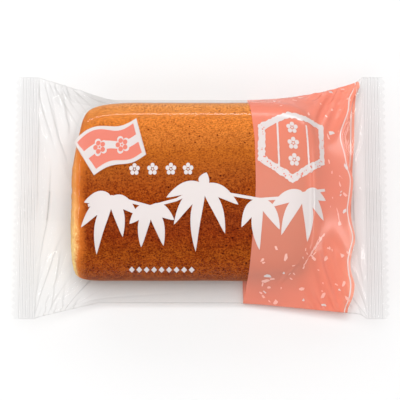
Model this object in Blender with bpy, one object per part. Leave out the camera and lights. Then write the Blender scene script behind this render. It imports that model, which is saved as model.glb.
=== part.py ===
# A kasumaki, a sponge roll, in its clear flow-wrapped film pack: one closed solid of the pack's outer form.
# Units are metres. X runs along the pack, Y across it and Z up, with the table at Z = 0.

import math

import bmesh
import bpy

# Film tube: its length over the end seals, its lay-flat width and the line of its side folds
PACK_LENGTH = 0.130
PACK_WIDTH = 0.086
WAIST_LEVEL = 0.0037
FILM_GAP = 0.0002

# End seals: crimped strips with ribs along their length and a saw-toothed outer edge
SEAL_WIDTH = 0.008
SEAL_LEVEL = 0.009
SEAL_CORE = 0.0006
SEAL_LAP = 0.0006
SEAL_INSET = 0.0001
SEAL_LIP = 0.0018
RIB_PITCH = 0.0012
RIB_HEIGHT = 0.00025
TOOTH_PITCH = 0.0025
TOOTH_DEPTH = 0.0013

# Back seam: a fin pressed flat under the pack, off the middle
FIN_WIDTH = 0.0108
FIN_CENTRE = -0.003
FIN_GROOVE = 0.0005
FIN_STEP = 0.00035

# The roll that the film is pulled over: a flattened log with rounded ends, a little off the middle
ROLL_LENGTH = 0.0844
ROLL_WIDTH = 0.0624
ROLL_HEIGHT = 0.0294
ROLL_AT_X = -0.0020
ROLL_AT_Y = 0.0007
ROLL_FLATTENED = 0.0013
ROLL_ROUNDNESS = 2.35
ROLL_ENDS = 7.0
FILM_REACH = 0.972

# Side folds by side, +Y and -Y: distance from the middle at the waist, then for the left and the right half where
# the fold leaves its straight run, the power of its curve and the share left to the last few millimetres
SIDE_FOLDS = {
    1: (0.0362, (0.032, 1.0, 0.0), (0.012, 2.4, 0.12)),
    -1: (0.0366, (0.0355, 1.0, 0.05), (0.015, 1.0, 0.25)),
}
FOLD_CORNER = 0.003

# Between the roll and a seal the film stands full on both sides of the middle, as the tube is as wide there as
# anywhere: its height, and the share of it that hangs below
SHOULDER_HEIGHT = 0.0020
SHOULDER_UNDER = 0.45
# Shares of the way out to the side fold where it starts, is full and falls, in the gap and over the roll
SHOULDER_BAND = (0.40, 0.64, 0.92)
SHOULDER_OVER_ROLL = (0.68, 0.90, 0.95)
# Distance from the seal where it is full, and distances past the roll's rim where it has changed, falls and ends
SHOULDER_FULL = 0.003
SHOULDER_PAST_RIM = (0.003, 0.004, 0.014)
# How far the middle sags, and the distances from the seal where it is full, rises and ends
MIDDLE_SAG = 0.0007
SAG_RUN = (0.001, 0.006, 0.013)

# Folds that fan out of a seal's corner: end, side, angle in degrees from the pack's length, height, reach
CORNER_FOLDS = [
    (-1, 1, 45, 0.0007, 0.030),
    (-1, 1, 24, 0.0004, 0.028),
    (-1, -1, 36, 0.0009, 0.024),
    (-1, -1, 16, 0.0006, 0.030),
    (1, 1, 62, 0.0006, 0.024),
    (1, 1, 36, 0.0006, 0.026),
    (1, 1, 18, 0.0006, 0.026),
    (1, -1, 52, 0.0008, 0.024),
    (1, -1, 16, 0.0005, 0.026),
]
FOLD_SPREAD = 7.0
FOLD_CLEAR = 0.006

# Facets of the solid
SECTION_POINTS = 96
TOP_FACETS = 40
SIDE_FACETS = 9
SEAM_FACETS = 3
ROLL_STATIONS = 26
GAP_STATIONS = 10

half_length = PACK_LENGTH / 2
half_width = PACK_WIDTH / 2
seal_line = half_length - SEAL_WIDTH
roll_middle = ROLL_HEIGHT - (ROLL_HEIGHT + ROLL_FLATTENED) / 2


def clear_scene():
    for old in list(bpy.data.objects):
        bpy.data.objects.remove(old, do_unlink=True)


def side_fold(x, side):
    # Distance from the middle and height of one side fold at x
    waist, left, right = SIDE_FOLDS[side]
    start, power, last = left if x < 0 else right
    from_seal = max(0.0, seal_line - abs(x))
    flare = min(1.0, max(0.0, abs(x) - start) / (seal_line - start)) ** power * (1 - last)
    flare += last * max(0.0, 1 - from_seal / FOLD_CORNER) ** 2
    return waist + (half_width - waist) * flare, WAIST_LEVEL + (SEAL_LEVEL - WAIST_LEVEL) * flare


def roll_section(x):
    # The roll's outline at x, inside the film, drawn in at its ends and flattened where it lies on the table
    along = min(1.0, abs(x - ROLL_AT_X) / (ROLL_LENGTH / 2))
    scale = (1 - along ** ROLL_ENDS) ** (1 / ROLL_ENDS)
    across = ROLL_WIDTH / 2 * scale + FILM_GAP
    up = (ROLL_HEIGHT + ROLL_FLATTENED) / 2 * scale
    outline = []
    for step in range(SECTION_POINTS):
        turn = 2 * math.pi * step / SECTION_POINTS
        y = math.copysign(abs(math.cos(turn)) ** (2 / ROLL_ROUNDNESS), math.cos(turn))
        z = math.copysign(abs(math.sin(turn)) ** (2 / ROLL_ROUNDNESS), math.sin(turn))
        outline.append((ROLL_AT_Y + across * y, max(0.0, roll_middle + up * z)))
    return outline


def taut_chain(points, side):
    # The film's path over the points from the far side fold to the near one: side is 1 above, -1 below
    chain = []
    for point in sorted(points):
        while len(chain) > 1:
            (ay, az), (by, bz) = chain[-2], chain[-1]
            turn = (by - ay) * (point[1] - az) - (bz - az) * (point[0] - ay)
            if turn * side < 0:
                break
            chain.pop()
        chain.append(point)
    return chain


def even_points(chain, count):
    # Points at equal steps of length along a chain
    lengths = [0.0]
    for start, end in zip(chain, chain[1:]):
        lengths.append(lengths[-1] + math.dist(start, end))
    points = []
    for step in range(count + 1):
        wanted = lengths[-1] * step / count
        at = next((i for i, run in enumerate(lengths[1:]) if run >= wanted), len(chain) - 2)
        share = (wanted - lengths[at]) / (lengths[at + 1] - lengths[at])
        points.append(tuple(a + (b - a) * share for a, b in zip(chain[at], chain[at + 1])))
    return points


def clipped(chain, low, high):
    # The part of a chain between two values of Y
    def at(y):
        a, b = next(pair for pair in zip(chain, chain[1:]) if pair[1][0] >= y)
        return y, a[1] + (b[1] - a[1]) * (y - a[0]) / (b[0] - a[0])

    return [at(low)] + [point for point in chain if low < point[0] < high] + [at(high)]


def base_points(chain):
    # Points along the base, with a notch at each edge of the back seam
    low, high = FIN_CENTRE - FIN_WIDTH / 2, FIN_CENTRE + FIN_WIDTH / 2
    runs = [
        (chain[0][0], low - FIN_GROOVE, SIDE_FACETS),
        (low + FIN_GROOVE, high - FIN_GROOVE, SEAM_FACETS),
        (high + FIN_GROOVE, chain[-1][0], SIDE_FACETS),
    ]
    points = []
    for number, (start, end, count) in enumerate(runs):
        points += even_points(clipped(chain, start, end), count)
        if number < 2:
            y, z = clipped(chain, (low, high)[number], end + 3 * FIN_GROOVE)[0]
            points.append((y, z + FIN_GROOVE))
    return points


def ring(x, top_chain, base_chain):
    # A section of the tube: the top from -Y to +Y, then the base between its ends, back from +Y to -Y
    top = [(x, y, z) for y, z in even_points(top_chain, TOP_FACETS)]
    base = [(x, y, z) for y, z in base_points(base_chain)]
    return top, base


def film_ring(x):
    # The section where the film is pulled over the roll
    (far, far_level), (near, near_level) = side_fold(x, 1), side_fold(x, -1)
    points = roll_section(x) + [(-near, near_level), (far, far_level)]
    return ring(x, taut_chain(points, 1), taut_chain(points, -1))


def seal_ring(end):
    # The same tube pressed flat at a seal's inner line, inside the seal's plate
    reach = half_width - SEAL_INSET
    lift = SEAL_CORE / 2 - SEAL_INSET
    lines = [[(-reach, z), (reach, z)] for z in (SEAL_LEVEL + lift, SEAL_LEVEL - lift)]
    return ring(end * (seal_line + SEAL_LAP), *lines)


def eased(value, low, high):
    # 0 at low and 1 at high, smooth between them
    share = min(1.0, max(0.0, (value - low) / (high - low)))
    return share * share * (3 - 2 * share)


def fullness(x, y):
    # How far the film stands out from the straight sheet at its shoulders, and how far its middle sags
    from_seal = max(0.0, seal_line - abs(x))
    past_rim = FILM_REACH * ROLL_LENGTH / 2 - abs(x - ROLL_AT_X)
    changed, low, high = SHOULDER_PAST_RIM
    start, full, falls = mix(SHOULDER_BAND, SHOULDER_OVER_ROLL, eased(past_rim, 0.0, changed))
    out = min(1.0, abs(y) / side_fold(x, 1 if y > 0 else -1)[0])
    side = eased(out, start, full)
    stands = min(1.0, from_seal / SHOULDER_FULL) * (1 - eased(past_rim, low, high))
    sags = min(1.0, from_seal / SAG_RUN[0]) * (1 - eased(from_seal, *SAG_RUN[1:]))
    return SHOULDER_HEIGHT * stands * side * (1 - eased(out, falls, 1.0)), MIDDLE_SAG * sags * (1 - side)


def fold_relief(x, y):
    # Height of the folds that fan out of the seals' corners
    height = 0.0
    for end, side, degrees, tall, reach in CORNER_FOLDS:
        along = end * (end * seal_line - x)
        across = half_width - side * y
        away = math.hypot(along, across)
        if along <= 0 or away < 1e-6:
            continue
        off = (math.degrees(math.atan2(across, along)) - degrees) / FOLD_SPREAD
        rise = math.sin(math.pi * min(1.0, away / reach)) ** 2
        height += tall * rise * math.exp(-off * off)
    edge = (side_fold(x, 1 if y > 0 else -1)[0] - abs(y)) / FOLD_CLEAR
    return height * min(1.0, max(0.0, edge))


def stations():
    # Places along X over the roll, close together at its rounded ends, where the film leaves it
    reach = FILM_REACH * ROLL_LENGTH / 2
    turns = [math.pi * (i / ROLL_STATIONS - 0.5) for i in range(ROLL_STATIONS + 1)]
    return [ROLL_AT_X + reach * math.sin(turn) for turn in turns]


def mix(a, b, share):
    return tuple(p + (q - p) * share for p, q in zip(a, b))


def along_folds(top, base):
    # A section between the roll and a seal, spread and lifted so that its sides lie on the side folds
    x, near_now, near_z = top[0]
    far_now, far_z = top[-1][1:]
    (far, far_level), (near, near_level) = side_fold(x, 1), side_fold(x, -1)

    def placed(point):
        y, z = point[1:]
        if y > 0:
            out = y / far_now
            return x, out * far, z + (far_level - far_z) * out ** 6
        out = y / near_now
        return x, -out * near, z + (near_level - near_z) * out ** 6

    return [placed(point) for point in top], [placed(point) for point in base]


def film_rings():
    # All the tube's sections from the left seal to the right one
    over_roll = [film_ring(x) for x in stations()]
    left, right = seal_ring(-1), seal_ring(1)
    shares = [(i + 1) / GAP_STATIONS for i in range(GAP_STATIONS - 1)]

    def gap(rim, seal, share):
        return along_folds(*([mix(a, b, share) for a, b in zip(*rows)] for rows in zip(rim, seal)))

    rings = [left] + [gap(over_roll[0], left, share) for share in reversed(shares)]
    rings += over_roll
    rings += [gap(over_roll[-1], right, share) for share in shares] + [right]
    return rings


def shaped(top, base):
    # One closed ring with the shoulders and the corner folds raised above
    above, below = [], []
    for x, y, z in top:
        stands, sags = fullness(x, y)
        above.append((x, y, z + stands - sags + fold_relief(x, y)))
    for x, y, z in base[1:-1]:
        below.append((x, y, max(0.0, z - SHOULDER_UNDER * fullness(x, y)[0])))
    return above + list(reversed(below))


def fill_rings(bm, rings):
    # Closes a tube of rings that all have the same count of points
    rows = [[bm.verts.new(point) for point in ring] for ring in rings]
    for here, there in zip(rows, rows[1:]):
        for i in range(len(here)):
            j = (i + 1) % len(here)
            bm.faces.new((here[i], here[j], there[j], there[i]))
    bm.faces.new(rows[0])
    bm.faces.new(list(reversed(rows[-1])))


def film_body():
    rings = [shaped(top, base) for top, base in film_rings()]
    bm = bmesh.new()
    fill_rings(bm, rings)
    return finished("film_body", bm)


def finished(name, bm):
    bmesh.ops.triangulate(bm, faces=bm.faces[:])
    bmesh.ops.recalc_face_normals(bm, faces=bm.faces[:])
    mesh = bpy.data.meshes.new(name)
    bm.to_mesh(mesh)
    bm.free()
    piece = bpy.data.objects.new(name, mesh)
    bpy.context.scene.collection.objects.link(piece)
    return piece


def extruded(name, outline, low, high):
    # A straight prism along Y of an outline in X and Z
    bm = bmesh.new()
    fill_rings(bm, [[(x, y, z) for x, z in outline] for y in (low, high)])
    return finished(name, bm)


def seal_plate(end):
    # One end seal: a thin plate with ribs on both faces and a plain outer lip
    core = SEAL_CORE / 2
    ribbed = SEAL_WIDTH - SEAL_LIP
    count = int(ribbed / RIB_PITCH)
    margin = (ribbed - count * RIB_PITCH) / 2
    upper = [(0.0, core)]
    for rib in range(count):
        start = margin + rib * RIB_PITCH
        upper += [(start + 0.1 * RIB_PITCH, core), (start + 0.35 * RIB_PITCH, core + RIB_HEIGHT)]
        upper += [(start + 0.65 * RIB_PITCH, core + RIB_HEIGHT), (start + 0.9 * RIB_PITCH, core)]
    upper.append((SEAL_WIDTH, core))
    outline = upper + [(x, -z) for x, z in reversed(upper)]
    placed = [(end * (seal_line + x), SEAL_LEVEL + z) for x, z in outline]
    return extruded("seal", placed, -half_width, half_width)


def seam_in_seal(end):
    # The back seam's fin where it is pressed into an end seal
    core = SEAL_CORE / 2
    low = SEAL_LEVEL - core - RIB_HEIGHT - FIN_STEP
    near, far = seal_line + SEAL_LIP / 2, half_length - SEAL_LIP
    outline = [(end * near, low), (end * far, low), (end * far, SEAL_LEVEL), (end * near, SEAL_LEVEL)]
    return extruded("seam", outline, FIN_CENTRE - FIN_WIDTH / 2, FIN_CENTRE + FIN_WIDTH / 2)


def tooth_cutter(end):
    # Notches between the teeth of a seal's outer edge, as one comb
    count = round(PACK_WIDTH / TOOTH_PITCH)
    pitch = PACK_WIDTH / count
    root = half_length - TOOTH_DEPTH
    outside = half_length + TOOTH_DEPTH
    edge = [(outside, -half_width - pitch), (half_length + TOOTH_DEPTH / 4, -half_width - pitch)]
    for tooth in range(count + 1):
        y = -half_width + tooth * pitch
        edge.append((root, y))
        edge.append((half_length, y + pitch / 2))
    edge += [(half_length + TOOTH_DEPTH / 4, half_width + pitch), (outside, half_width + pitch)]
    bm = bmesh.new()
    levels = (SEAL_LEVEL - SEAL_WIDTH / 2, SEAL_LEVEL + SEAL_WIDTH / 2)
    fill_rings(bm, [[(end * x, y, z) for x, y in edge] for z in levels])
    cutter = finished("tooth_cutter", bm)
    cutter.hide_render = True
    cutter.display_type = "WIRE"
    return cutter


def combine(piece, other, operation):
    # Applies one Boolean and removes the other piece
    change = piece.modifiers.new(operation.lower(), "BOOLEAN")
    change.object = other
    change.operation = operation
    change.solver = "EXACT"
    shape = piece.evaluated_get(bpy.context.evaluated_depsgraph_get())
    mesh = bpy.data.meshes.new_from_object(shape)
    piece.modifiers.clear()
    piece.data = mesh
    bpy.data.objects.remove(other, do_unlink=True)


def film_material():
    # Clear film seen against the browned sponge
    material = bpy.data.materials.new("clear_film_over_sponge")
    material.use_nodes = True
    shader = material.node_tree.nodes["Principled BSDF"]
    shader.inputs["Base Color"].default_value = (0.46, 0.20, 0.07, 1.0)
    shader.inputs["Roughness"].default_value = 0.18
    shader.inputs["Metallic"].default_value = 0.0
    return material


def build():
    clear_scene()
    pack = film_body()
    for end in (-1, 1):
        seal = seal_plate(end)
        combine(seal, seam_in_seal(end), "UNION")
        combine(seal, tooth_cutter(end), "DIFFERENCE")
        combine(pack, seal, "UNION")
    pack.name = "pack"
    pack.data.name = "pack"
    pack.data.shade_smooth()
    pack.data.set_sharp_from_angle(angle=math.radians(35))
    pack.data.materials.clear()
    pack.data.materials.append(film_material())


build()
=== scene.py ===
import math

import bpy
import numpy as np
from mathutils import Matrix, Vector, noise
from mathutils.geometry import delaunay_2d_cdt


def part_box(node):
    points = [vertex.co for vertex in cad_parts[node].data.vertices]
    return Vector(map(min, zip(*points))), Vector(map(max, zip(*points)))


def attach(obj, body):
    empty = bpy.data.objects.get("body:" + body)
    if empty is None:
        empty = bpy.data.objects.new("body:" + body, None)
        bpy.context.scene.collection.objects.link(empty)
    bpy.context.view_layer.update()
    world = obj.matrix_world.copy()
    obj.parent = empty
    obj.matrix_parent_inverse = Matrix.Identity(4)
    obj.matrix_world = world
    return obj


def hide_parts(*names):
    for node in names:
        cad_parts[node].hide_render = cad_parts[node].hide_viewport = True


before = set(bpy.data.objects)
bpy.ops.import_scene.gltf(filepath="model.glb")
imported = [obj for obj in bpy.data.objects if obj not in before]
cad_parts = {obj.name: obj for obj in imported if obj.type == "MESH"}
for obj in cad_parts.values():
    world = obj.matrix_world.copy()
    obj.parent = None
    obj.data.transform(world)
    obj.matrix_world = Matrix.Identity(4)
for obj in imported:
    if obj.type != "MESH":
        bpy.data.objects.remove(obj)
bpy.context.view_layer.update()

packLow, packHigh = (np.array(corner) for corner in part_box("pack"))
packSize = packHigh - packLow
mm = 0.001
print("frame loaded, pack", [round(float(side) / mm, 1) for side in packSize], "mm")


# shared helpers

def hexColour(code):
    # sRGB hex to the linear values that shaders take
    channels = [int(code[i:i + 2], 16) / 255 for i in (1, 3, 5)]
    return [c / 12.92 if c <= 0.04045 else ((c + 0.055) / 1.055) ** 2.4 for c in channels] + [1.0]


def newMaterial(name):
    material = bpy.data.materials.new(name)
    material.use_nodes = True
    material.node_tree.nodes.clear()
    return material, material.node_tree


def addNode(tree, kind, settings=None, **links):
    # a node with its settings; links name an input socket, and hold a socket or a plain value
    node = tree.nodes.new(kind)
    for name, value in (settings or {}).items():
        setattr(node, name, value)
    for name, value in links.items():
        socket = node.inputs[int(name[2:]) if name.startswith("in") else name.replace("_", " ")]
        if isinstance(value, bpy.types.NodeSocket):
            tree.links.new(value, socket)
        else:
            socket.default_value = value
    return node


def addMath(tree, operation, *values):
    links = {f"in{i}": value for i, value in enumerate(values)}
    return addNode(tree, "ShaderNodeMath", {"operation": operation}, **links).outputs[0]


def addRange(tree, value, low, high, smoothly=False, **ends):
    # 0 to 1, or to the given ends, as a value goes from low to high
    settings = {"interpolation_type": "SMOOTHSTEP"} if smoothly else {}
    return addNode(tree, "ShaderNodeMapRange", settings, Value=value, From_Min=low, From_Max=high,
                   **ends).outputs["Result"]


def addMix(tree, share, first, second, blend="MIX"):
    # two colours blended, each a hex code or a socket
    first, second = (hexColour(c) if isinstance(c, str) else c for c in (first, second))
    return addNode(tree, "ShaderNodeMix", {"data_type": "RGBA", "blend_type": blend}, in0=share, in6=first,
                   in7=second).outputs[2]


def addPiece(name, points, faces, material):
    mesh = bpy.data.meshes.new(name)
    mesh.from_pydata([tuple(map(float, p)) for p in points], [], faces)
    mesh.update()
    mesh.shade_smooth()
    mesh.materials.append(material)
    piece = bpy.data.objects.new(name, mesh)
    bpy.context.scene.collection.objects.link(piece)
    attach(piece, "root")
    return piece


def gridFaces(rows, columns, closed=False, flip=False):
    # quads between the points of a grid, joined round its columns if it is closed
    last = columns if closed else columns - 1
    faces = []
    for i in range(rows - 1):
        for j in range(last):
            k = (j + 1) % columns
            face = (i * columns + j, i * columns + k, (i + 1) * columns + k, (i + 1) * columns + j)
            faces.append(face[::-1] if flip else face)
    return faces


# the roll: a flattened log of sponge, widest in the middle of its height

roll = {
    "length": 84.4 * mm,
    "width": 62.4 * mm,
    "height": packSize[2],
    "x": -2.0 * mm,
    "y": 0.7 * mm,
    "flattened": 1.3 * mm,  # how far the underside is pressed flat
    "section": 2.35,        # 2 is an ellipse, more is boxier
    "ends": 7.0,            # the same for the rounding towards the ends
    "nearCorner": 7.0,      # how much squarer that is at the left end's near corner
    "lean": 2.1 * mm,       # how far the left end's far part is cut back
    "grain": 0.55 * mm,     # mesh spacing
    "around": 150 * mm,     # its section's length, for the mesh
    "dents": (0.22 * mm, 7 * mm),       # depth and size of the skin's slight hollows
    "crumb": (0.55 * mm, 1.9 * mm),     # the same at the cut ends
    "crumbFrom": 0.93,      # where those begin, as a share of the half length
}
rollHalf = np.array([roll["length"] / 2, roll["width"] / 2, (roll["height"] + roll["flattened"]) / 2])
rollMiddle = np.array([roll["x"], roll["y"], roll["height"] - rollHalf[2]])


def rollScale(x):
    # how far the roll's section is drawn in at x
    along = np.clip(np.abs(x - rollMiddle[0]) / rollHalf[0], 0, 1)
    return (1 - along ** roll["ends"]) ** (1 / roll["ends"])


def smooth(value, low, high):
    share = np.clip((value - low) / (high - low), 0, 1)
    return share * share * (3 - 2 * share)


def endPower(x, across):
    # the power of the ends' rounding, at x from the roll's middle and at a share of its half width
    return roll["ends"] + roll["nearCorner"] * smooth(-across, 0.25, 0.8) * (x < 0)


def rollSection(count):
    # one turn of the section, with both half sizes 1
    turn = 2 * np.pi * np.arange(count) / count
    power = 2 / roll["section"]
    across = np.sign(np.cos(turn)) * np.abs(np.cos(turn)) ** power
    return across, np.sign(np.sin(turn)) * np.abs(np.sin(turn)) ** power


# the film tube, from one end seal's inner line to the other's

film = {
    "flatWidth": packSize[1],
    "sealWidth": 8 * mm,
    "sealLevel": 9 * mm,
    "waistLevel": 3.7 * mm,
    # each side fold: its distance from the middle at the waist, then for its left and its right half where
    # it leaves its straight run, the power of its curve and the share left to the last "corner"
    "farFold": (36.2 * mm, (32 * mm, 1.0, 0.0), (12 * mm, 2.4, 0.12)),
    "nearFold": (36.6 * mm, (35.5 * mm, 1.0, 0.05), (15 * mm, 1.0, 0.25)),
    "corner": 3 * mm,
    "rim": 0.972,               # where the film leaves the roll, as a share of its half length
    "foldReach": 6,             # how sharply the sides turn into their folds, as a power
    "grid": 0.9 * mm,
    "clearance": 0.2 * mm,      # from the roll and the table
    "pressed": 0.06 * mm,       # each layer's distance from the seals' middle
    "apart": (0.15 * mm, 3 * mm),   # least gap of the two layers, and how close they are where it counts
    "steps": 40,
    "sweeps": 8,
    "damping": 0.9,
    "shear": 0.6,
    "bend": 0.3,
    "bentLength": 0.97,         # how far a bend may close before it pushes back
    "slack": 0.012,
    "ripple": 0.3 * mm,
    "seed": 7,
}
sealLine = packSize[0] / 2 - film["sealWidth"]


def sideFold(x, fold):
    # distance from the middle and height of one side fold at x
    waist, left, right = film[fold]
    start, power, last = left if x < 0 else right
    flare = min(1.0, max(0.0, abs(x) - start) / (sealLine - start)) ** power * (1 - last)
    flare += last * max(0.0, 1 - (sealLine - abs(x)) / film["corner"]) ** 2
    out = waist + (film["flatWidth"] / 2 - waist) * flare
    return out, film["waistLevel"] + (film["sealLevel"] - film["waistLevel"]) * flare


def tautLoop(x):
    # the shortest loop round the roll's section and the two side folds, from the +Y fold over the top
    across, up = rollSection(360)
    y = rollMiddle[1] + (rollHalf[1] * rollScale(x) + film["clearance"]) * across
    z = rollMiddle[2] + (rollHalf[2] * rollScale(x) + film["clearance"]) * up
    (far, farLevel), (near, nearLevel) = sideFold(x, "farFold"), sideFold(x, "nearFold")
    points = sorted(list(zip(y, np.maximum(z, film["clearance"]))) + [(-near, nearLevel), (far, farLevel)])
    chains = []
    for side in (1, -1):
        chain = []
        for point in points:
            while len(chain) > 1:
                (ay, az), (by, bz) = chain[-2], chain[-1]
                if ((by - ay) * (point[1] - az) - (bz - az) * (point[0] - ay)) * side < 0:
                    break
                chain.pop()
            chain.append(point)
        chains.append(chain)
    return np.array(chains[0][::-1]), np.array(chains[0][::-1] + chains[1][1:])


def runAlong(points):
    steps = np.linalg.norm(np.diff(points, axis=0), axis=1)
    return np.concatenate([[0], np.cumsum(steps)])


def loopRow(x, count):
    # evenly spaced points over the top, then under the roll: 0 is on the far fold, count/2 on the near one
    over, loop = tautLoop(x)
    run = runAlong(loop)
    top = runAlong(over)[-1]
    wanted = np.concatenate([np.linspace(0, top, count // 2, endpoint=False),
                             np.linspace(top, run[-1], count // 2, endpoint=False)])
    y, z = (np.interp(wanted, run, loop[:, k]) for k in (0, 1))
    return np.stack([np.full(count, x), y, z], 1)


def sealRow(end, count):
    # the tube pressed flat
    turn = np.arange(count) / count
    half = film["flatWidth"] / 2
    y = np.where(turn < 0.5, half * (1 - 4 * turn), half * (4 * turn - 3))
    layer = np.where(turn < 0.5, 1, -1) * np.where(turn % 0.5 == 0, 0, film["pressed"])
    return np.stack([np.full(count, end * sealLine), y, film["sealLevel"] + layer], 1)


def filmStart():
    count = int(round(2 * film["flatWidth"] / film["grid"] / 4)) * 4
    reach = film["rim"] * rollHalf[0]
    rims = [rollMiddle[0] - reach, rollMiddle[0] + reach]
    seals = [sealRow(end, count) for end in (-1, 1)]
    ends = [loopRow(x, count) for x in rims]
    gaps = [int(round(np.linalg.norm(a[count // 4] - b[count // 4]) / film["grid"]))
            for a, b in zip(ends, seals)]
    fine = np.linspace(rims[0], rims[1], 2001)
    run = runAlong(np.stack([fine, rollMiddle[2] + rollHalf[2] * rollScale(fine)], 1))
    overRoll = int(round(run[-1] / film["grid"]))
    rows = [seals[0] + (ends[0] - seals[0]) * i / gaps[0] for i in range(gaps[0])]
    rows += [loopRow(np.interp(run[-1] * i / overRoll, run, fine), count) for i in range(overRoll + 1)]
    rows += [ends[1] + (seals[1] - ends[1]) * i / gaps[1] for i in range(1, gaps[1] + 1)]
    for row in rows[1:gaps[0]] + rows[-gaps[1]:-1]:
        # between the roll and the seals the sides keep to their folds too
        (far, farLevel), (near, nearLevel) = sideFold(row[0, 0], "farFold"), sideFold(row[0, 0], "nearFold")
        out = row[:, 1] / np.where(row[:, 1] > 0, row[0, 1], -row[count // 2, 1])
        lift = np.where(out > 0, farLevel - row[0, 2], nearLevel - row[count // 2, 2])
        row[:, 1] = out * np.where(out > 0, far, near)
        row[:, 2] += lift * out ** film["foldReach"]
    return np.array(rows)


def threadPairs(index, down, across, parity):
    # every second pair of points that lie `down` rows and `across` columns apart, so no point is in two
    other = np.roll(index, (-down, -across), axis=(0, 1))
    row, column = np.indices(index.shape)
    group = row // down if down else column // across
    keep = (group % 2 == parity) & (row + down < index.shape[0])
    return index[keep], other[keep]


def pushOut(points, held):
    # keeps the film outside the roll, above the table and in two layers that don't cross
    half = rollHalf + film["clearance"]
    away = points - rollMiddle
    part = np.abs(away) / half
    n, e = roll["section"], endPower(away[..., 0], away[..., 1] / half[1])
    round_ = part[..., 1] ** n + part[..., 2] ** n
    value = (round_ ** (e / n) + part[..., 0] ** e) ** (1 / e)
    inside = (value < 1) & ~held & (points[..., 2] > 3 * film["clearance"])  # the roll's base is flat
    p, r, v, e = part[inside], np.maximum(round_[inside], 1e-6), np.maximum(value[inside], 1e-3), e[inside]
    slope = np.stack([p[:, 0] ** (e - 1)] + [r ** (e / n - 1) * p[:, k] ** (n - 1) for k in (1, 2)], 1)
    slope *= np.sign(away[inside]) / half / (v ** (e - 1))[:, None]
    size = (slope ** 2).sum(1) + 1e-9
    points[inside] += slope * ((1 - v) / size)[:, None]
    points[..., 2] = np.maximum(points[..., 2], film["clearance"])
    columns = points.shape[1]
    top, low = points[:, 1:columns // 2], points[:, :columns // 2:-1]
    apart, near = film["apart"]
    over = low[..., 2] + apart - top[..., 2]
    meets = (np.abs(top[..., 1] - low[..., 1]) < near) & (over > 0) & ~held[:, 1:columns // 2]
    top[..., 2] += np.where(meets, over / 2, 0)
    low[..., 2] -= np.where(meets, over / 2, 0)
    points[..., 2] = np.maximum(points[..., 2], film["clearance"])


def settleFilm(points):
    # an inextensible sheet, relaxed step by step: its spare length gathers into folds at the corners
    rows, columns, _ = points.shape
    random = np.random.default_rng(film["seed"])
    ripple = random.normal(size=(rows, columns))
    for _ in range(3):
        ripple = (ripple + np.roll(ripple, 1, 1) + np.roll(ripple, -1, 1)) / 3
        ripple[1:-1] = (ripple[:-2] + ripple[1:-1] + ripple[2:]) / 3
    nearSeal = (np.abs(points[1:-1, :, 0]) / sealLine) ** 2
    points[1:-1, :, 2] += ripple[1:-1] * film["ripple"] * nearSeal
    along = np.linalg.norm(np.diff(points, axis=0), axis=2)
    middle = along[:, columns // 4]
    length = np.minimum(middle.sum(), along.sum(0) * (1 + film["slack"]))
    restAlong = middle[:, None] * (length / middle.sum())[None, :]
    restAlong = np.vstack([restAlong, restAlong[-1:]])
    loops = np.linalg.norm(np.roll(points, -1, 1) - points, axis=2)
    restRound = np.minimum(loops * (1 + film["slack"]), 2 * film["flatWidth"] / columns)
    held = np.zeros((rows, columns), bool)
    held[0] = held[-1] = True
    held[:, 0] = held[:, columns // 2] = True
    free = (~held).astype(float).ravel()
    index = np.arange(rows * columns).reshape(rows, columns)
    families = []
    for down, across, stiffness in ((1, 0, 1), (0, 1, 1), (1, 1, film["shear"]), (1, -1, film["shear"]),
                                    (2, 0, film["bend"]), (0, 2, film["bend"])):
        for parity in (0, 1):
            a, b = threadPairs(index, down, across, parity)
            rest = np.hypot(restAlong.ravel()[a] * down, restRound.ravel()[a] * across)
            bends = max(down, abs(across)) == 2
            share = stiffness / np.maximum(free[a] + free[b], 1)
            families.append((a, b, rest * (film["bentLength"] if bends else 1), share[:, None], bends))
    flat = points.reshape(-1, 3)
    before = flat.copy()
    for _ in range(film["steps"]):
        speed = (flat - before) * film["damping"] * free[:, None]
        before = flat.copy()
        flat += speed
        for sweep in range(film["sweeps"]):
            for a, b, rest, share, bends in families:
                if bends and sweep % 2:
                    continue
                apart = flat[b] - flat[a]
                size = np.sqrt((apart ** 2).sum(1)) + 1e-12
                short = (size - rest) / size
                if bends:
                    short = np.minimum(short, 0)
                move = apart * short[:, None] * share
                flat[a] += move * free[a][:, None]
                flat[b] -= move * free[b][:, None]
            pushOut(points, held)
    return points


def doubled(grid):
    # twice as fine, on smooth curves through the points
    rows = np.concatenate([2 * grid[:1] - grid[1:2], grid, 2 * grid[-1:] - grid[-2:-1]])
    fine = np.empty((2 * len(grid) - 1,) + grid.shape[1:])
    fine[::2], fine[1::2] = grid, (9 * (rows[1:-2] + rows[2:-1]) - rows[:-3] - rows[3:]) / 16
    between = (9 * (fine + np.roll(fine, -1, 1)) - np.roll(fine, 1, 1) - np.roll(fine, -2, 1)) / 16
    return np.stack([fine, between], 2).reshape(len(fine), -1, 3)


def unit(vectors):
    return vectors / (np.linalg.norm(vectors, axis=-1, keepdims=True) + 1e-12)


def outward(grid):
    down = np.gradient(grid, axis=0)
    normals = unit(np.cross(np.roll(grid, -1, 1) - np.roll(grid, 1, 1), down))
    return normals * np.sign(normals[grid.shape[0] // 2, grid.shape[1] // 4, 2])


filmGrid = doubled(settleFilm(filmStart()))
filmRows, filmColumns, _ = filmGrid.shape
middleRun = runAlong(filmGrid[:, filmColumns // 4])
middleRun -= np.interp(0, filmGrid[:, filmColumns // 4, 0], middleRun)
roundStep = 2 * film["flatWidth"] / filmColumns

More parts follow.
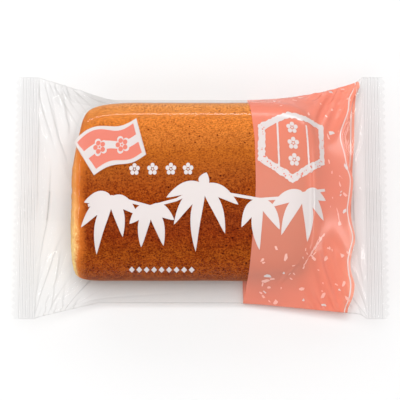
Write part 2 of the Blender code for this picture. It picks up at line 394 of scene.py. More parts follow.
# sharp pleats that fan out from the corners of the seals: both ends as places in the flat film, height
# and half width, all in mm
pleats = [
    (-64.5, 41.5, -41.9, 18.3, 0.55, 1.3), (-64.0, 40.2, -47.5, 17.9, 0.35, 0.9),
    (-62.8, 41.6, -33.1, 25.5, 0.35, 0.9), (-65.0, 38.0, -53.0, 10.0, 0.30, 0.9),
    (-65.5, -40.3, -46.8, -26.5, 0.80, 1.5), (-62.7, -39.6, -51.6, -30.0, 0.40, 0.9),
    (-65.0, -41.2, -31.6, -39.4, 0.35, 0.9), (-51.7, -41.5, -0.2, -36.4, 0.25, 0.8),
    (-65.5, -38.0, -56.0, -18.0, 0.35, 0.9), (61.4, 41.0, 35.7, 33.5, 0.40, 0.9),
    (61.4, 41.0, 39.3, 27.5, 0.40, 0.9), (61.4, 40.8, 44.9, 25.7, 0.40, 0.9),
    (61.4, 40.5, 50.5, 24.8, 0.40, 0.9), (61.6, 40.0, 54.9, 27.0, 0.35, 0.9),
    (64.0, -40.0, 50.0, -22.0, 0.50, 1.2), (64.0, -41.0, 44.0, -36.0, 0.40, 0.9),
    (26.9, -32.7, 37.5, -18.9, 0.22, 0.8), (63.0, -34.0, 57.0, -10.0, 0.35, 0.9),
    (66.0, 24.0, 61.0, 12.0, 0.35, 0.9),
]


def addPleats(grid):
    along = middleRun[:, None] / mm
    round_ = (filmColumns / 4 - np.arange(filmColumns))[None, :] * roundStep / mm
    lift = np.zeros(grid.shape[:2])
    for x0, y0, x1, y1, height, width in pleats:
        reach = np.hypot(x1 - x0, y1 - y0)
        t = ((along - x0) * (x1 - x0) + (round_ - y0) * (y1 - y0)) / reach ** 2
        away = np.abs((along - x0) * (y1 - y0) - (round_ - y0) * (x1 - x0)) / reach
        fade = np.clip(t * 6, 0, 1) * np.clip(1 - t, 0, 1) ** 0.7
        spread = width * (0.6 + 0.8 * np.clip(t, 0, 1))
        lift = np.maximum(lift, height * fade * np.clip(1 - away / spread, 0, 1))
    grid += outward(grid) * (lift * mm)[..., None]


addPleats(filmGrid)
filmNormals = outward(filmGrid)
print("film settled", filmGrid.shape)


def onFilm(along, round_, lift=0.0):
    # a place in the flat film: along it from the pack's middle, and round it from the top's middle line
    row = np.clip(np.interp(along, middleRun, np.arange(filmRows)), 0, filmRows - 1.001)
    column = (filmColumns / 4 - np.asarray(round_) / roundStep) % filmColumns
    i, j = np.floor(row).astype(int), np.floor(column).astype(int) % filmColumns
    u, v = (row - i)[..., None], (column - np.floor(column))[..., None]
    k = (j + 1) % filmColumns

    def blend(field):
        first, second = (field[i, at] * (1 - u) + field[i + 1, at] * u for at in (j, k))
        return first * (1 - v) + second * v

    return blend(filmGrid) + unit(blend(filmNormals)) * lift


# materials

def clearFilmMaterial(name, straight, slanted, slantPower):
    # oriented polypropylene, cast and stretched: clear, with a sharp gloss; at a slant more film is in the
    # way, which draws its folds and ribs as grey lines
    material, tree = newMaterial(name)
    facing = addNode(tree, "ShaderNodeLayerWeight", Blend=0.5).outputs["Facing"]
    mirror = addMath(tree, "MULTIPLY_ADD", addMath(tree, "POWER", facing, 6.0), 0.85, 0.012)
    tone = addMix(tree, addMath(tree, "POWER", facing, slantPower), straight, slanted)
    through = addNode(tree, "ShaderNodeBsdfTransparent", Color=tone)
    gloss = addNode(tree, "ShaderNodeBsdfAnisotropic", Color=hexColour("#FFFFFF"), Roughness=0.08)
    shader = addNode(tree, "ShaderNodeMixShader", in0=mirror, in1=through.outputs[0], in2=gloss.outputs[0])
    addNode(tree, "ShaderNodeOutputMaterial", Surface=shader.outputs[0])
    return material


def inkMaterial(name, colour, cover, tint, glowShare=0.1):
    # gravure ink on film: a thin even coat under a glossy skin, that lets a little through
    material, tree = newMaterial(name)
    through = addNode(tree, "ShaderNodeBsdfTransparent", Color=hexColour(tint))
    coat = addNode(tree, "ShaderNodeBsdfPrincipled", Base_Color=hexColour(colour), Roughness=0.18, IOR=1.49)
    glow = addNode(tree, "ShaderNodeBsdfTranslucent", Color=hexColour(colour))
    pigment = addNode(tree, "ShaderNodeMixShader", in0=glowShare, in1=coat.outputs[0], in2=glow.outputs[0])
    shader = addNode(tree, "ShaderNodeMixShader", in0=cover, in1=through.outputs[0], in2=pigment.outputs[0])
    addNode(tree, "ShaderNodeOutputMaterial", Surface=shader.outputs[0])
    return material


def spongeMaterial():
    # castella sponge, baked in a tray: a smooth brown skin with fine pores, yellow crumb at the cut ends
    material, tree = newMaterial("castellaSponge")
    place = addNode(tree, "ShaderNodeTexCoord").outputs["Object"]

    def drawnOut(share):
        # places for a texture that is longer along the roll
        return addNode(tree, "ShaderNodeVectorMath", {"operation": "MULTIPLY"}, in0=place,
                       in1=(share, 1.0, 1.0)).outputs[0]

    def noiseOf(at, size, detail, roughness):
        return addNode(tree, "ShaderNodeTexNoise", Vector=at, Scale=1 / (size * mm), Detail=detail,
                       Roughness=roughness).outputs["Fac"]

    def cellsOf(at, size):
        return addNode(tree, "ShaderNodeTexVoronoi", {"feature": "F1"}, Vector=at,
                       Scale=1 / (size * mm)).outputs["Distance"]

    # sizes in mm: pores of 0.5 with pits every 0.85, uneven patches of 1.7, a larger hole every 3.2, cloudy
    # browning of 9 and streaks from rolling, 1.9 wide and 11 long
    grainPlace = drawnOut(0.85)
    pores, patches = noiseOf(grainPlace, 0.5, 3.0, 0.7), noiseOf(grainPlace, 1.7, 2.0, 0.6)
    pits, holes = cellsOf(grainPlace, 0.85), cellsOf(place, 3.2)
    clouds, streaks = noiseOf(place, 9, 3.0, 0.55), noiseOf(drawnOut(0.17), 1.9, 2.0, 0.5)

    # the skin's colour goes from the near side, at 0, to the far side, at 1: part of it is browning and
    # part is painted light and shade, paler towards the far side and darker towards the near side
    split = addNode(tree, "ShaderNodeSeparateXYZ", Vector=place)
    side = addMath(tree, "MULTIPLY_ADD", clouds, 5 * mm, split.outputs["Y"])
    share = addRange(tree, addMath(tree, "MULTIPLY_ADD", streaks, 3 * mm, side), -30 * mm, 38 * mm)
    browningAndPaintedLight = addNode(tree, "ShaderNodeValToRGB", Fac=share)
    browningAndPaintedLight.color_ramp.elements[0].color = hexColour("#B65711")
    browningAndPaintedLight.color_ramp.elements[1].color = hexColour("#FFB25E")
    for at, code in ((0.15, "#A55213"), (0.24, "#963F0F"), (0.34, "#934116"), (0.42, "#A34A0F"),
                     (0.54, "#AA571C"), (0.66, "#BC671F"), (0.75, "#D37C32"), (0.84, "#E48735")):
        browningAndPaintedLight.color_ramp.elements.new(at).color = hexColour(code)
    skinColour = browningAndPaintedLight.outputs[0]

    # each layer: where it shows, by a texture's value from low to high, what it does to the colour below,
    # and how strongly on the pale far side; the dark near side has all of it
    for value, low, high, code, onPale in ((patches, 0.36, 0.60, "#E0C8B0", 0.3),
                                           (pores, 0.34, 0.58, "#84462C", 0.72),
                                           (pits, 0.08, 0.26, "#AC8266", 0.85),
                                           (holes, 0.07, 0.13, "#84492A", 1.0)):
        strength = addRange(tree, share, 0.38, 0.62, To_Min=1.0, To_Max=onPale)
        darker = addMix(tree, strength, skinColour, code, "MULTIPLY")
        skinColour = addMix(tree, addRange(tree, value, low, high), darker, skinColour)
    # paler towards the underside, below about 17 mm
    under = addRange(tree, split.outputs["Z"], 17 * mm, 9 * mm, smoothly=True)
    skinColour = addMix(tree, under, skinColour, "#B06A28")

    # the skin turns orange a few millimetres before it ends at the crumb, along a wandering line
    half = float(rollHalf[0])
    fromMiddle = addMath(tree, "ABSOLUTE", addMath(tree, "SUBTRACT", split.outputs["X"], float(roll["x"])))
    wander = addMath(tree, "MULTIPLY_ADD", clouds, 3.0 * mm, fromMiddle)
    wander = addMath(tree, "MULTIPLY_ADD", pores, 1.6 * mm, wander)
    orange = addRange(tree, wander, half - 3.9 * mm, half - 0.2 * mm, smoothly=True, To_Max=0.85)
    toasted = addMix(tree, orange, skinColour, "#CF6F28")
    # the crumb's own yellow and orange, with painted light: paler towards the near side
    pale = addMix(tree, addRange(tree, share, 0.5, 0.15), "#E0934A", "#F6DA92")
    crumb = addMix(tree, addRange(tree, pores, 0.32, 0.56), "#D4873A", pale)
    ending = addRange(tree, wander, half - 1.1 * mm, half + 1.3 * mm, smoothly=True)
    rough = addMath(tree, "MULTIPLY_ADD", pits, 0.6, pores)
    bump = addNode(tree, "ShaderNodeBump", Height=rough, Strength=0.6, Distance=0.25 * mm)
    coat = addNode(tree, "ShaderNodeBsdfPrincipled", Base_Color=addMix(tree, ending, toasted, crumb),
                   Roughness=0.7, Specular_IOR_Level=0.06, Normal=bump.outputs[0])
    addNode(tree, "ShaderNodeOutputMaterial", Surface=coat.outputs[0])
    return material


clearFilm = clearFilmMaterial("clearPolypropyleneFilm", "#FFFFFF", "#C2C1C0", 2.6)
crimpedFilm = clearFilmMaterial("crimpedPolypropyleneFilm", "#FDFDFD", "#B7B6B7", 2.2)
redInk = inkMaterial("redGravureInk", "#FDA48B", 0.57, "#FFC4AE", 0.12)
whiteInk = inkMaterial("whiteGravureInk", "#D9D0CE", 0.96, "#F5F5F7")
paleInk = inkMaterial("thinRedGravureInk", "#F9C9BC", 0.8, "#FBE0D8")
flagInk = inkMaterial("redOverWhiteGravureInk", "#DF806F", 0.96, "#F9C9BC")
castella = spongeMaterial()
print("materials made")


# the roll's mesh

def makeRoll():
    # rings along a profile that runs from the middle of one end face to the middle of the other
    turn = np.linspace(-np.pi / 2, np.pi / 2, 4001)
    power = 2 / roll["ends"]
    x = np.sign(np.sin(turn)) * np.abs(np.sin(turn)) ** power
    scale = np.abs(np.cos(turn)) ** power
    run = runAlong(np.stack([x * rollHalf[0], scale * rollHalf[1]], 1))
    count = int(run[-1] / roll["grain"])
    turns = np.interp(np.linspace(0, run[-1], count)[1:-1], run, turn)[:, None]
    columns = int(roll["around"] / roll["grain"])
    across, up = rollSection(4000)
    loop = runAlong(np.stack([across * rollHalf[1], up * rollHalf[2]], 1))
    at = np.linspace(0, loop[-1], columns, endpoint=False)
    across, up = np.interp(at, loop, across), np.interp(at, loop, up)
    power = 2 / endPower(turns, across)
    scale = np.abs(np.cos(turns)) ** power
    points = np.stack([np.sign(turns) * np.abs(np.sin(turns)) ** power, scale * across, scale * up], 2)
    leftward = np.clip(-points[..., 0], 0, 1) ** 3
    farther = smooth(points[..., 1], 0.1, 0.72) - 0.4 * smooth(points[..., 1], 0.8, 1.0)
    cut = roll["lean"] * leftward * farther
    points = rollMiddle + points * rollHalf
    points[..., 0] += cut
    (depth, size), (crumbDepth, crumbSize) = roll["dents"], roll["crumb"]
    hollows, torn = (np.array([noise.noise(Vector(p / grain)) for p in points.reshape(-1, 3)])
                     .reshape(scale.shape) for grain in (size, crumbSize))
    atEnd = smooth(np.abs(points[..., 0] - rollMiddle[0]) / rollHalf[0], roll["crumbFrom"], 1.0)
    inward = (hollows + 1) / 2 * depth + np.clip(torn + 0.3, 0, 1) * crumbDepth * atEnd
    points += (rollMiddle - points) / rollHalf * inward[..., None]
    points[..., 2] = np.maximum(points[..., 2], 2 * film["clearance"])
    rows = len(points)
    flat = list(points.reshape(-1, 3))
    ends = [points[row].mean(0) for row in (0, -1)]
    faces = gridFaces(rows, columns, closed=True)
    first, last = len(flat), len(flat) + 1
    for j in range(columns):
        k = (j + 1) % columns
        faces.append((first, k, j))
        faces.append((last, (rows - 1) * columns + j, (rows - 1) * columns + k))
    return addPiece("sponge_roll", flat + ends, faces, castella)


spongeRoll = makeRoll()
print("roll made")


# the printed band and the clear film on both sides of it

band = {
    # its two edges, drawn askew with the film: places round it, and how far along it they are there, in mm
    "start": [(-86, 15.5), (-60, 14.8), (-43, 14.2), (-36, 15.4), (-23, 16.9), (-7, 18.4), (0, 18.7),
              (13, 18.5), (23, 17.4), (30, 16.3), (43, 16.0), (60, 15.6), (86, 15.5)],
    "end": [(-86, 56.5), (-60, 55.0), (-42, 53.6), (-37, 56.0), (-34, 56.3), (-31, 56.0), (-28, 54.7),
            (-24, 54.7), (-19.7, 56.1), (-16.8, 57.8), (-14, 57.9), (-11.3, 56.6), (-6, 55.4), (-3, 56.2),
            (3, 57.4), (5.8, 57.5), (8.6, 55.9), (14, 54.6), (17, 53.0), (20, 52.2), (23, 53.2), (29, 55.9),
            (35, 57.2), (38, 59.6), (42.5, 61.0), (60, 59.0), (86, 56.5)],
    "around": 172,          # once round the film, in mm
    "soften": 2.4,          # mm
    "grid": 0.5 * mm,
    "gapLine": 0.5 * mm,
    "edgeLine": 1.2 * mm,
}


def edgeCurve(stops):
    # an edge's place along the film at each of its columns, softened over a few millimetres
    round_ = (filmColumns / 4 - np.arange(filmColumns)) * roundStep / mm
    places, values = zip(*stops)
    halfRound = band["around"] / 2
    edge = np.interp((round_ + halfRound) % band["around"] - halfRound, places, values)
    half = int(round(band["soften"] * mm / roundStep / 2))
    return sum(np.roll(edge, k) for k in range(-half, half + 1)) / (2 * half + 1) * mm


def filmSpan(name, start, end, material):
    # a stretch of the tube between two edges along it
    rows = max(2, int(round(np.max(end - start) / band["grid"])) + 1)
    along = start + (end - start) * np.linspace(0, 1, rows)[:, None]
    round_ = (filmColumns / 4 - np.arange(filmColumns)) * roundStep + 0 * along
    faces = gridFaces(rows, filmColumns, closed=True, flip=True)
    return addPiece(name, onFilm(along, round_).reshape(-1, 3), faces, material)


everyColumn = np.ones(filmColumns)
bandStops = [middleRun[0] * everyColumn, edgeCurve(band["start"]), edgeCurve(band["end"])]
bandStops += [bandStops[2] + band["gapLine"], bandStops[2] + band["gapLine"] + band["edgeLine"],
              middleRun[-1] * everyColumn]
filmPieces = [
    filmSpan("film_left", bandStops[0], bandStops[1], clearFilm),
    filmSpan("printed_band", bandStops[1], bandStops[2], redInk),
    filmSpan("band_gap_line", bandStops[2], bandStops[3], whiteInk),
    filmSpan("band_edge_line", bandStops[3], bandStops[4], redInk),
    filmSpan("film_right", bandStops[4], bandStops[5], clearFilm),
]
for piece in filmPieces + [spongeRoll]:
    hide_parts("pack")
print("film made")


# end seals: the two layers crimped between ribbed jaws, cut with a saw-toothed knife

seal = {
    "ribPitch": 1.2 * mm,
    "ribHeight": 0.3 * mm,
    "ribEnds": 0.4 * mm,    # over which the ribs begin and end
    "wave": (0.12 * mm, 7 * mm),    # a slight waviness towards the teeth: its depth and length
    "lip": 1.6 * mm,
    "toothPitch": 2.5 * mm,
    "toothDepth": 1.3 * mm,
    "thickness": 0.12 * mm,
    "acrossStep": 0.3125 * mm,
    "alongStep": 0.15 * mm,
}


def makeSeal(end, name):
    across = int(round(film["flatWidth"] / seal["acrossStep"])) + 1
    along = int(round(film["sealWidth"] / seal["alongStep"])) + 1
    y = np.linspace(-film["flatWidth"] / 2, film["flatWidth"] / 2, across)
    t = np.linspace(0, film["sealWidth"], along)
    toothPhase = (y / seal["toothPitch"]) % 1
    tooth = seal["toothDepth"] * (1 - np.abs(2 * toothPhase - 1))
    reach = np.minimum(t[:, None], film["sealWidth"] - seal["toothDepth"] + 0 * y[None, :])
    spare = np.maximum(t[:, None] - (film["sealWidth"] - seal["toothDepth"]), 0) / seal["toothDepth"]
    x = reach + spare * tooth[None, :]
    toLip = film["sealWidth"] - seal["lip"] - t
    ribbed = np.clip(t / seal["ribEnds"], 0, 1) * np.clip(toLip / seal["ribEnds"], 0, 1)
    z = seal["ribHeight"] * ribbed * np.sin(2 * np.pi * t / seal["ribPitch"])
    depth, length = seal["wave"]
    z = z[:, None] + depth * np.sin(y[None, :] / length) * (t[:, None] / film["sealWidth"])
    grid = np.stack([end * (sealLine + x), y[None, :] + 0 * x, film["sealLevel"] + z + 0 * x], 2)
    half = seal["thickness"] / 2
    points = np.concatenate([grid + [0, 0, half], grid - [0, 0, half]]).reshape(-1, 3)
    size = along * across
    faces = gridFaces(along, across, flip=end > 0)
    faces += [tuple(size + v for v in face[::-1]) for face in faces]
    edge = [i * across for i in range(along)] + [(along - 1) * across + j for j in range(1, across)]
    edge += [i * across + across - 1 for i in range(along - 2, -1, -1)] + list(range(across - 2, 0, -1))
    for a, b in zip(edge, edge[1:] + edge[:1]):
        faces.append((a, b, b + size, a + size) if end > 0 else (b, a, a + size, b + size))
    piece = addPiece(name, points, faces, crimpedFilm)
    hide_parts("pack")


makeSeal(-1, "end_seal_left")
makeSeal(1, "end_seal_right")

backSeam = {
    "width": 10.8 * mm,
    "y": -3 * mm,
    "lift": 0.1 * mm,
    "under": 0.2 * mm,      # how far it lies below the seals' middle
    "ribHeight": 0.2 * mm,
    "lowest": 0.05 * mm,    # its least height above the table
    "columns": 19,
    "rows": 221,
}


def makeBackSeam():
    # the tube's lengthwise seam, folded flat under the pack and crimped into both end seals
    across = np.linspace(-backSeam["width"] / 2, backSeam["width"] / 2, backSeam["columns"]) + backSeam["y"]
    along = np.linspace(middleRun[0], middleRun[-1], backSeam["rows"])
    round_ = -film["flatWidth"] - across
    under = onFilm(along[:, None] + 0 * across, round_ + 0 * along[:, None], backSeam["lift"])
    under[..., 2] = np.maximum(under[..., 2], backSeam["lowest"])
    t = np.arange(seal["alongStep"], film["sealWidth"] - seal["toothDepth"], seal["alongStep"])
    rows = []
    for end in (-1, 1):
        ribs = backSeam["ribHeight"] * np.sin(2 * np.pi * t / seal["ribPitch"])
        z = film["sealLevel"] - backSeam["under"] + ribs
        rows.append(np.stack([end * (sealLine + t)[:, None] + 0 * across, across + 0 * t[:, None],
                              z[:, None] + 0 * across], 2))
    grid = np.concatenate([rows[0][::-1], under, rows[1]])
    piece = addPiece("back_seam", grid.reshape(-1, 3), gridFaces(len(grid), len(across)), clearFilm)
    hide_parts("pack")


makeBackSeam()
print("seals made")


# printed motifs, cut as outlines in the flat film and laid on it

# heights above the film, so that print over print stays apart
inkLevels = [0.08 * mm, 0.13 * mm, 0.18 * mm, 0.23 * mm]
strokeStep = 0.7    # mm between the points of a stroke's edges
blossomParts = {"petalAt": 0.62, "petal": 0.36, "dot": 0.17}    # as shares of the blossom's radius


def anticlockwise(outline):
    after = np.roll(outline, -1, 0)
    turning = (outline[:, 0] * after[:, 1] - outline[:, 1] * after[:, 0]).sum()
    return outline if turning > 0 else outline[::-1]


def printPiece(name, outlines, material, lift=inkLevels[0], spacing=0.8 * mm):
    # all outlines are joined into one sheet, with inner points to follow the film
    outlines = [anticlockwise(np.asarray(outline, float)) for outline in outlines]
    flat, loops = [], []
    for outline in outlines:
        loops.append(list(range(len(flat), len(flat) + len(outline))))
        flat += [Vector(p) for p in outline]
    corners = np.vstack(outlines)
    low, high = corners.min(0), corners.max(0)
    xs, ys = (np.arange(low[k] + spacing / 2, high[k], spacing) for k in (0, 1))
    flat += [Vector((x, y)) for x in xs for y in ys]
    got = delaunay_2d_cdt(flat, [], loops, 1, 1e-7)
    # faces without an outline of origin are the holes between the outlines
    kept = [face for face, origins in zip(got[2], got[5]) if origins]
    used = sorted({v for face in kept for v in face})
    order = {v: i for i, v in enumerate(used)}
    places = np.array([(got[0][v].x, got[0][v].y) for v in used])
    faces = [tuple(order[v] for v in face) for face in kept]
    return addPiece(name, onFilm(places[:, 0], places[:, 1], lift), faces, material)


def stroke(points, width, random=None, rough=0.0):
    # a line of the brush through a few points, in mm, with its edges as rough as a stamp's
    points = np.asarray(points, float)
    run = runAlong(points)
    at = np.linspace(0, run[-1], max(2, int(run[-1] / strokeStep) + 1))
    line = np.stack([np.interp(at, run, points[:, k]) for k in (0, 1)], 1)
    across = np.gradient(line, axis=0)
    across = unit(np.stack([-across[:, 1], across[:, 0]], 1))
    halves = [np.full(len(at), width / 2) for _ in (0, 1)]
    if random is not None:
        halves = [half + random.uniform(-rough, rough, len(at)) for half in halves]
    left, right = line + across * halves[0][:, None], line - across * halves[1][:, None]
    return np.concatenate([left, right[::-1]]) * mm


def leaf(base, angle, length, width, bend):
    # one bamboo leaf of a single brush stroke: pointed, fullest before its middle, slightly curved
    t = np.linspace(0, 1, 15)
    middle = np.stack([t * length, bend * length * np.sin(np.pi * t)], 1)
    half = width / 2 * np.sin(np.pi * t ** 0.7) ** 0.8
    side = np.stack([0 * t, half], 1)
    edge = np.concatenate([middle + side, (middle - side)[-2:0:-1]])
    turn = math.radians(angle)
    spin = np.array([[math.cos(turn), math.sin(turn)], [-math.sin(turn), math.cos(turn)]])
    return (edge @ spin + base) * mm


def disc(centre, radius, sides=14):
    turn = np.linspace(0, 2 * np.pi, sides, endpoint=False)
    return (np.stack([np.cos(turn), np.sin(turn)], 1) * radius + centre) * mm


def plumBlossom(centre, radius, turn=90.0):
    # five round petals about a dot
    angles = [math.radians(turn + 72 * k) for k in range(5)]
    places = [np.add(centre, np.array([math.cos(a), math.sin(a)]) * radius * blossomParts["petalAt"])
              for a in angles]
    petals = [disc(place, radius * blossomParts["petal"]) for place in places]
    return petals + [disc(centre, radius * blossomParts["dot"], 8)]


hexagon = {
    # corners and bars in mm along and round the film
    "corners": [(30.3, 22.1), (20.9, 17.2), (20.7, 7.2), (31.1, 1.2), (43.4, 8.3), (43.7, 21.0)],
    "bars": [((26.3, 19.9), (26.6, 4.2)), ((36.6, 19.0), (36.9, 4.9))],
    "line": 2.35,
    "bar": 0.6,
    "rough": 0.26,
    "barRough": 0.05,
    "worn": 60,                         # specks that the stamp left out
    "speck": (0.12, 0.3),               # their least and greatest radius
    "wornSides": [1, 2, 2, 3, 3, 4],    # where they are drawn from, with the more worn sides twice
    "seed": 3,
    "blossoms": [(31.4, 17.4), (31.6, 12.2), (31.8, 7.0)],
    "blossom": 2.1,
}


def makeHexagon():
    random = np.random.default_rng(hexagon["seed"])
    corners = hexagon["corners"]
    outlines = []
    for a, b in zip(corners, corners[1:] + corners[:1]):
        reach = np.subtract(b, a) / np.hypot(*np.subtract(b, a)) * hexagon["line"] / 3
        line = [np.subtract(a, reach), np.add(b, reach)]
        outlines.append(stroke(line, hexagon["line"], random, hexagon["rough"]))
    outlines += [stroke(bar, hexagon["bar"], random, hexagon["barRough"]) for bar in hexagon["bars"]]
    for centre in hexagon["blossoms"]:
        outlines += plumBlossom(centre, hexagon["blossom"])
    printPiece("hexagon_frame", outlines, whiteInk, spacing=0.6 * mm)
    specks = []
    for _ in range(hexagon["worn"]):
        side = random.choice(hexagon["wornSides"])
        start, end = corners[side], corners[(side + 1) % 6]
        place = np.add(start, random.uniform() * np.subtract(end, start))
        place = place + random.normal(0, hexagon["line"] / 4, 2)
        specks.append(disc(place, random.uniform(*hexagon["speck"]), 5))
    printPiece("hexagon_wear", specks, flagInk, lift=inkLevels[1])


bamboo = {
    # a branch of bamboo: its stem, then each node's place and its leaves' (angle, length)
    "stem": [(-38, -6.5), (-30, -4.0), (-17, -7.0), (-8, -5.0), (1, -1.0), (10, -3.5), (20, -5.0),
             (28, -4.5), (35, -3.0), (44.5, -1.0)],
    "stemWidth": 0.9,
    "nodes": [
        ((-30, -4.2), [(-172, 9.5), (-140, 13.5), (-108, 17.5), (-72, 12), (-30, 10)]),
        ((-17, -7.0), [(-145, 8.5), (-105, 12), (-68, 12), (-25, 9)]),
        ((1, -1.0), [(-165, 13), (-132, 15), (-98, 19), (-62, 15.5), (-25, 13), (75, 4)]),
        ((20, -5.0), [(-128, 10), (-90, 14.5), (-52, 11)]),
        ((35, -3.0), [(-160, 12), (-122, 14.5), (-84, 14.5), (-42, 12), (-8, 10)]),
    ],
    "leafWidth": 3.7,
    "leafBend": 0.07,
}


def makeBamboo():
    outlines = [stroke(bamboo["stem"], bamboo["stemWidth"])]
    for base, leaves in bamboo["nodes"]:
        outlines += [leaf(base, angle, length, bamboo["leafWidth"],
                          bamboo["leafBend"] if angle > -90 else -bamboo["leafBend"])
                     for angle, length in leaves]
    printPiece("bamboo_branch", outlines, whiteInk)


label = {
    # a waving flag: its corners from the upper left, clockwise, in mm along and round the film
    "corners": [(-44.2, 14.0), (-22.0, 20.2), (-18.4, 8.3), (-36.0, 2.2)],
    "insetBy": (8.5, 5.0),      # about half its sides, to draw its outline in evenly
    "wave": ((1.7, 0.0), (1.0, 0.2)),   # the height and phase of its upper and its lower edge's wave
    "waves": 0.86,              # how many of them its length takes
    "border": 1.05,
    "stripe": (0.39, 0.63),     # a white stripe's two edges, as shares of the flag's height
    "blossoms": [(-34.3, 10.9), (-26.7, 11.4)],
    "blossom": (2.9, 2.2),      # its white rim's radius and its own
}


def flagOutline(inset, upper=0.0, lower=1.0):
    corners = [np.array(corner) for corner in label["corners"]]
    centre = sum(corners) / 4
    corners = [c + (centre - c) * inset / np.array(label["insetBy"]) for c in corners]
    u = np.linspace(0, 1, 19)[:, None]
    top = corners[0] + (corners[1] - corners[0]) * u
    bottom = corners[3] + (corners[2] - corners[3]) * u
    for edge, (height, phase) in zip((top, bottom), label["wave"]):
        edge[:, 1] += height * np.sin(2 * np.pi * u[:, 0] * label["waves"] + phase) * (1 - u[:, 0] ** 6)
    first, last = (top + (bottom - top) * share for share in (upper, lower))
    return np.concatenate([first, last[::-1]]) * mm


def makeLabel():
    printPiece("flag_border", [flagOutline(0.0)], whiteInk)
    printPiece("flag_field", [flagOutline(label["border"])], flagInk, lift=inkLevels[1])
    white, red = [flagOutline(label["border"] * 0.8, *label["stripe"])], []
    for centre in label["blossoms"]:
        white += plumBlossom(centre, label["blossom"][0], 110)
        red += plumBlossom(centre, label["blossom"][1], 110)
    printPiece("flag_stripe", white, whiteInk, lift=inkLevels[2], spacing=0.6 * mm)
    printPiece("flag_blossoms", red, flagInk, lift=inkLevels[3], spacing=0.6 * mm)


smallRows = {
    # blossoms above the branch and a row of lozenges below it
    "blossoms": [(-22.3, 3.9), (-16.2, 3.9), (-10.0, 3.9), (-4.2, 3.9)],
    "blossom": 1.9,
    "lozenges": [(-23.4 + 2.55 * k, -25.7) for k in range(9)],
    "lozenge": (1.0, 1.15),
}


def makeSmallRows():
    outlines = []
    for centre in smallRows["blossoms"]:
        outlines += plumBlossom(centre, smallRows["blossom"])
    wide, tall = smallRows["lozenge"]
    for x, y in smallRows["lozenges"]:
        outlines.append(np.array([(x - wide, y), (x, y - tall), (x + wide, y), (x, y + tall)]) * mm)
    printPiece("small_ornaments", outlines, whiteInk, spacing=0.6 * mm)


flecks = {
    # torn-paper flecks on the band: fields (low along, high along, low round, high round, how many)
    "fields": [(20, 56, -41, -19, 44), (22, 58, 25, 41, 16), (46, 57, -18, 22, 16)],
    "size": (0.35, 1.1),
    "stretch": (1.4, 0.75),     # their length and width for that size
    "paleShare": 0.75,
    "sliver": (0.5, 0.3),       # the width and roughness of the longer slivers
    "slivers": [[(35.8, -26.2), (37.6, -22.4), (40.6, -18.6), (42.4, -16.2)],
                [(38.6, -21.5), (41.6, -18.2), (44.6, -15.2)], [(50.5, -6.0), (51.6, -9.5), (51.2, -12.0)]],
    "seed": 11,
}


def makeFlecks():
    random = np.random.default_rng(flecks["seed"])
    white, pale = [], []
    for x0, x1, y0, y1, count in flecks["fields"]:
        for _ in range(count):
            centre = random.uniform((x0, y0), (x1, y1))
            size = random.uniform(*flecks["size"]) ** 1.3
            turn = random.uniform(0, np.pi)
            angles = np.sort(random.uniform(0, 2 * np.pi, 7))
            length, width = flecks["stretch"]
            ring = np.stack([np.cos(angles) * size * length, np.sin(angles) * size * width], 1)
            spin = np.array([[np.cos(turn), np.sin(turn)], [-np.sin(turn), np.cos(turn)]])
            (pale if random.uniform() < flecks["paleShare"] else white).append((ring @ spin + centre) * mm)
    width, rough = flecks["sliver"]
    pale += [stroke(sliver, width, random, rough) for sliver in flecks["slivers"]]
    printPiece("white_flecks", white, whiteInk, spacing=0.9 * mm)
    printPiece("pale_flecks", pale, paleInk, spacing=0.9 * mm)


makeHexagon()
makeBamboo()
makeLabel()
makeSmallRows()
makeFlecks()
print("print made")


# floor, lights and camera, with places and sizes in metres and power in watts

stage = {
    "floor": "#DFDFDF",
    "floorHalf": 1.2,
    "softboxes": [
        ("overheadSoftbox", (0.0, 0.03, 0.9), (0.55, 0.5), 7.9),
        ("backSoftbox", (-0.15, 0.85, 0.5), (1.1, 0.5), 2.2),
        ("frontSoftbox", (-0.1, -0.7, 0.75), (1.0, 0.5), 2.65),
        ("leftSoftbox", (-0.85, -0.1, 0.4), (0.8, 0.5), 1.3),
    ],
    "strips": [
        ("leftStrip", (-0.9, 0.0, 0.12), (0.9, 0.06), 1.6),
        ("rightStrip", (0.9, 0.0, 0.12), (0.9, 0.06), 2.2),
        ("leftHighStrip", (-0.75, 0.1, 0.55), (0.9, 0.05), 1.2),
        ("rightHighStrip", (0.75, 0.1, 0.55), (0.9, 0.05), 1.2),
        ("backStrip", (0.0, 0.9, 0.25), (1.2, 0.06), 3.0),
    ],
    "camera": {"azimuth": 0.0, "elevation": 77.5, "distance": 675 * mm,
               "target": (-0.17 * mm, 0.75 * mm, 0.0)},
    "frameWidth": 141.0 * mm,   # what the picture's side takes in at the target
}


def addFloor():
    mesh = bpy.data.meshes.new("floor")
    half = stage["floorHalf"]
    corners = [(-half, -half, 0), (half, -half, 0), (half, half, 0), (-half, half, 0)]
    mesh.from_pydata(corners, [], [(0, 1, 2, 3)])
    material, tree = newMaterial("whiteCard")
    coat = addNode(tree, "ShaderNodeBsdfDiffuse", Color=hexColour(stage["floor"]))
    addNode(tree, "ShaderNodeOutputMaterial", Surface=coat.outputs[0])
    mesh.materials.append(material)
    floor = bpy.data.objects.new("floor", mesh)
    bpy.context.scene.collection.objects.link(floor)


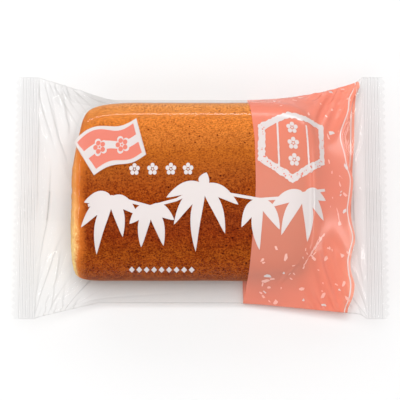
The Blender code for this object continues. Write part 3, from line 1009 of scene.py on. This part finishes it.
def addLight(name, place, size, power, glossOnly=False):
    # aimed at the middle of the floor
    light = bpy.data.lights.new(name, "AREA")
    light.shape = "RECTANGLE"
    light.size, light.size_y = size
    light.energy = power
    holder = bpy.data.objects.new(name, light)
    holder.location = place
    holder.rotation_euler = (Vector() - Vector(place)).to_track_quat("-Z", "Y").to_euler()
    # the softboxes light the pack, and only the narrow strips are mirrored in its film
    holder.visible_glossy = glossOnly
    holder.visible_diffuse = holder.visible_transmission = not glossOnly
    bpy.context.scene.collection.objects.link(holder)


def addCamera():
    view = stage["camera"]
    turn, rise = math.radians(view["azimuth"]), math.radians(view["elevation"])
    back = Vector((-math.sin(turn) * math.cos(rise), -math.cos(turn) * math.cos(rise), math.sin(rise)))
    lens = bpy.data.cameras.new("camera")
    lens.sensor_fit = "HORIZONTAL"
    lens.sensor_width = 36.0
    lens.lens = 36.0 * view["distance"] / stage["frameWidth"]
    lens.clip_start = 0.01
    camera = bpy.data.objects.new("camera", lens)
    camera.location = Vector(view["target"]) + back * view["distance"]
    camera.rotation_euler = (-back).to_track_quat("-Z", "Y").to_euler()
    bpy.context.scene.collection.objects.link(camera)
    bpy.context.scene.camera = camera


addFloor()
for softbox in stage["softboxes"]:
    addLight(*softbox)
for strip in stage["strips"]:
    addLight(*strip, glossOnly=True)


def addWorld():
    # a dim studio, brighter low down and behind, which is what the film mirrors
    world = bpy.data.worlds.new("studio")
    world.use_nodes = True
    tree = world.node_tree
    toward = addNode(tree, "ShaderNodeTexCoord").outputs["Generated"]
    split = addNode(tree, "ShaderNodeSeparateXYZ", Vector=toward)
    low = addRange(tree, split.outputs["Z"], 0.75, 0.1, smoothly=True)
    behind = addRange(tree, split.outputs["Y"], -0.6, 0.5, smoothly=True, To_Min=0.4)
    strength = addMath(tree, "MULTIPLY_ADD", addMath(tree, "MULTIPLY", low, behind), 0.85, 0.1)
    tree.links.new(strength, tree.nodes["Background"].inputs["Strength"])
    tree.nodes["Background"].inputs["Color"].default_value = hexColour("#FFFFFF")
    bpy.context.scene.world = world


addWorld()
bpy.context.scene.view_settings.view_transform = "Standard"
addCamera()
print("stage set")
